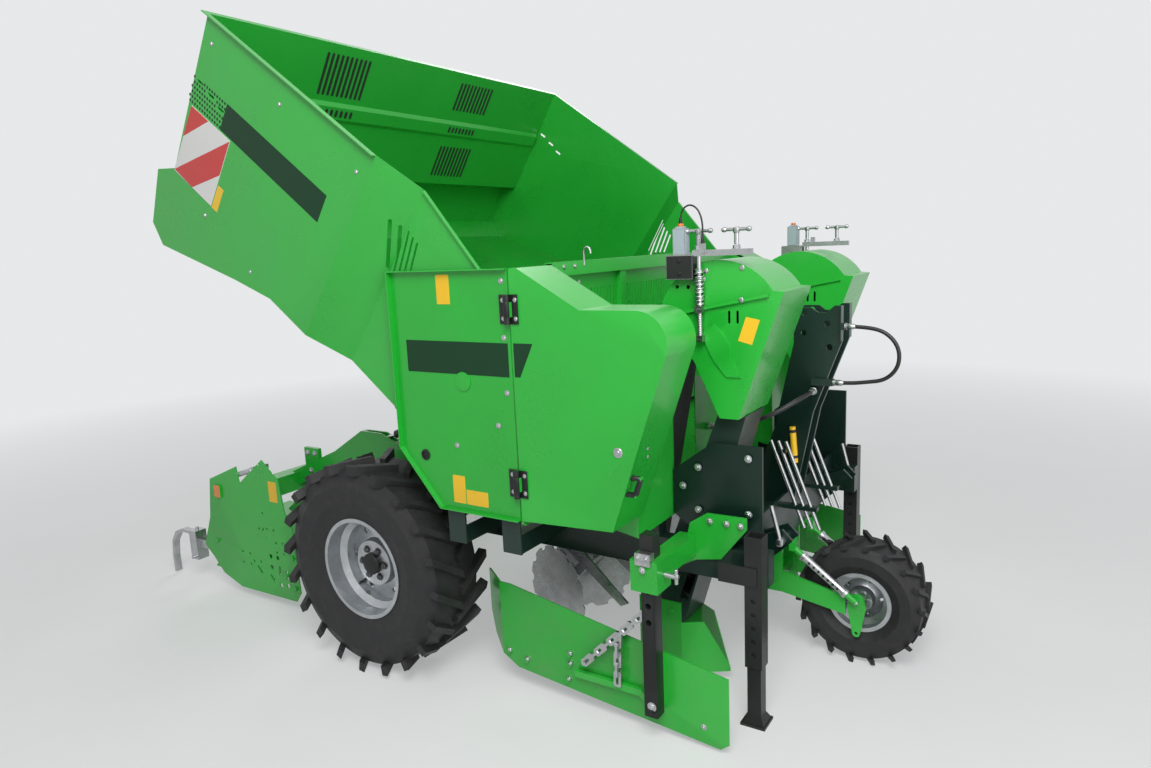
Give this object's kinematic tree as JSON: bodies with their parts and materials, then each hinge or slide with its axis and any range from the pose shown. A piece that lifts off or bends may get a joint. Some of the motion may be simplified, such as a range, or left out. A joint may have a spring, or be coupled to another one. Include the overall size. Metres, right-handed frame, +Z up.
{
  "type": "potato planter",
  "caption": "Trailed potato planter with a tipping hopper, inclined cup-belt planting elements, depth wheel, furrow openers, side shields and a rear ridging hood.",
  "frame": {"origin": "on the ground under the middle of the machine's bounding box", "axes": "+X to the machine's right, +Y forwards to the tractor, +Z up"},
  "size_m": [2.386, 3.753, 2.6416],
  "materials": {
    "black": "matte",
    "dark_green": "satin",
    "green": "satin",
    "rubber": "matte",
    "steel": "satin",
    "tyre": "matte"
  },
  "bodies": {
    "frame": {"adjuster_left": "steel", "adjuster_right": "steel", "belt_channel_left": "dark_green", "belt_channel_right": "dark_green", "belt_drums_left": "dark_green", "belt_drums_right": "dark_green", "bulkhead": "green", "cover_discs_left": "steel", "cover_discs_right": "steel", "cup_belt_left": "rubber", "cup_belt_right": "rubber", "door_hinges_left": "black", "door_hinges_right": "black", "element_housing_left": "green", "element_housing_right": "green", "headstock": "dark_green", "hose_bundle": "rubber", "hose_front": "rubber", "leg_sleeve_left": "dark_green", "leg_sleeve_right": "dark_green", "main_frame": "dark_green", "opener_left": "green", "opener_right": "green", "panel_left": "green", "panel_right": "green", "sensor_cable": "rubber", "shield_arm_left": "green", "shield_arm_right": "green", "shield_chains": "steel", "shield_post_left": "dark_green", "shield_post_right": "dark_green", "side_shield_left": "green", "side_shield_right": "green", "trough": "green", "wheel_fork": "green"},
    "door_left": {"door_left": "green"},
    "door_right": {"door_right": "green"},
    "front_wheel": {"front_rim": "steel", "front_tyre": "tyre"},
    "hopper": {"hopper_lugs": "green", "hopper_shell": "green"},
    "lift_barrel_left": {"lift_barrel_left": "dark_green"},
    "lift_barrel_right": {"lift_barrel_right": "dark_green"},
    "lift_rod_left": {"lift_rod_left": "steel"},
    "lift_rod_right": {"lift_rod_right": "steel"},
    "parking_leg_left": {"parking_leg_left": "dark_green"},
    "parking_leg_right": {"parking_leg_right": "dark_green"},
    "rear_wheel_left": {"rear_rim_left": "steel", "rear_tyre_left": "tyre"},
    "rear_wheel_right": {"rear_rim_right": "steel", "rear_tyre_right": "tyre"},
    "ridger": {"ridger_arms": "green", "ridger_fittings": "steel", "ridger_hood": "green", "ridger_side_left": "green", "ridger_side_right": "green"},
    "tip_barrel_left": {"tip_barrel_left": "dark_green"},
    "tip_barrel_right": {"tip_barrel_right": "dark_green"},
    "tip_rod_left": {"tip_rod_left": "steel"},
    "tip_rod_right": {"tip_rod_right": "steel"}
  },
  "joints": [
    {"name": "hopper_tip", "type": "hinge", "parent": "frame", "child": "hopper", "pos_m": [0, 0.4935, 1.25], "axis": [1, 0, 0], "range_deg": [0, 30]},
    {"name": "ridger_lift", "type": "hinge", "parent": "frame", "child": "ridger", "pos_m": [0, -0.1665, 0.79], "axis": [-1, 0, 0], "range_deg": [0, 10]},
    {"name": "rear_wheel_right_spin", "type": "hinge", "parent": "frame", "child": "rear_wheel_right", "pos_m": [0.951, -0.1065, 0.4445], "axis": [1, 0, 0], "continuous": true},
    {"name": "rear_wheel_left_spin", "type": "hinge", "parent": "frame", "child": "rear_wheel_left", "pos_m": [-0.951, -0.1065, 0.4445], "axis": [1, 0, 0], "continuous": true},
    {"name": "front_wheel_spin", "type": "hinge", "parent": "frame", "child": "front_wheel", "pos_m": [0, 1.6265, 0.25], "axis": [1, 0, 0], "continuous": true},
    {"name": "door_right_hinge", "type": "hinge", "parent": "frame", "child": "door_right", "pos_m": [1.071, 0.7145, 1.205], "axis": [0, 0, -1], "range_deg": [0, 100]},
    {"name": "parking_leg_right_slide", "type": "slide", "parent": "frame", "child": "parking_leg_right", "axis": [0, 0, 1], "range_m": [0, 0.16]},
    {"name": "door_left_hinge", "type": "hinge", "parent": "frame", "child": "door_left", "pos_m": [-1.071, 0.7145, 1.205], "axis": [0, 0, 1], "range_deg": [0, 100]},
    {"name": "parking_leg_left_slide", "type": "slide", "parent": "frame", "child": "parking_leg_left", "axis": [0, 0, 1], "range_m": [0, 0.16]},
    {"name": "tip_barrel_right_turn", "type": "hinge", "parent": "frame", "child": "tip_barrel_right", "pos_m": [0.735, 0.1435, 0.56], "axis": [1, 0, 0], "range_deg": [-1, 30]},
    {"name": "tip_rod_right_slide", "type": "slide", "parent": "tip_barrel_right", "child": "tip_rod_right", "axis": [0, -0.4664, 0.8846], "range_m": [-0.42, 0.01]},
    {"name": "lift_barrel_right_turn", "type": "hinge", "parent": "frame", "child": "lift_barrel_right", "pos_m": [0.658, -0.0865, 0.965], "axis": [-1, 0, 0], "range_deg": [-1, 15]},
    {"name": "lift_rod_right_slide", "type": "slide", "parent": "lift_barrel_right", "child": "lift_rod_right", "axis": [0, -0.9411, -0.3382], "range_m": [-0.05, 0.01]},
    {"name": "tip_barrel_left_turn", "type": "hinge", "parent": "frame", "child": "tip_barrel_left", "pos_m": [-0.735, 0.1435, 0.56], "axis": [1, 0, 0], "range_deg": [-1, 30]},
    {"name": "tip_rod_left_slide", "type": "slide", "parent": "tip_barrel_left", "child": "tip_rod_left", "axis": [0, -0.4664, 0.8846], "range_m": [-0.42, 0.01]},
    {"name": "lift_barrel_left_turn", "type": "hinge", "parent": "frame", "child": "lift_barrel_left", "pos_m": [-0.658, -0.0865, 0.965], "axis": [-1, 0, 0], "range_deg": [-1, 15]},
    {"name": "lift_rod_left_slide", "type": "slide", "parent": "lift_barrel_left", "child": "lift_rod_left", "axis": [0, -0.9411, -0.3382], "range_m": [-0.05, 0.01]}
  ],
  "couplings": [
    {"joint": "tip_barrel_right_turn", "follows": "hopper_tip", "ratio": 0.58634},
    {"joint": "tip_rod_right_slide", "follows": "hopper_tip", "m_per_rad": -0.68849},
    {"joint": "lift_barrel_right_turn", "follows": "ridger_lift", "ratio": 0.61278},
    {"joint": "lift_rod_right_slide", "follows": "ridger_lift", "m_per_rad": -0.14452},
    {"joint": "tip_barrel_left_turn", "follows": "hopper_tip", "ratio": 0.58634},
    {"joint": "tip_rod_left_slide", "follows": "hopper_tip", "m_per_rad": -0.68849},
    {"joint": "lift_barrel_left_turn", "follows": "ridger_lift", "ratio": 0.61278},
    {"joint": "lift_rod_left_slide", "follows": "ridger_lift", "m_per_rad": -0.14452}
  ]
}
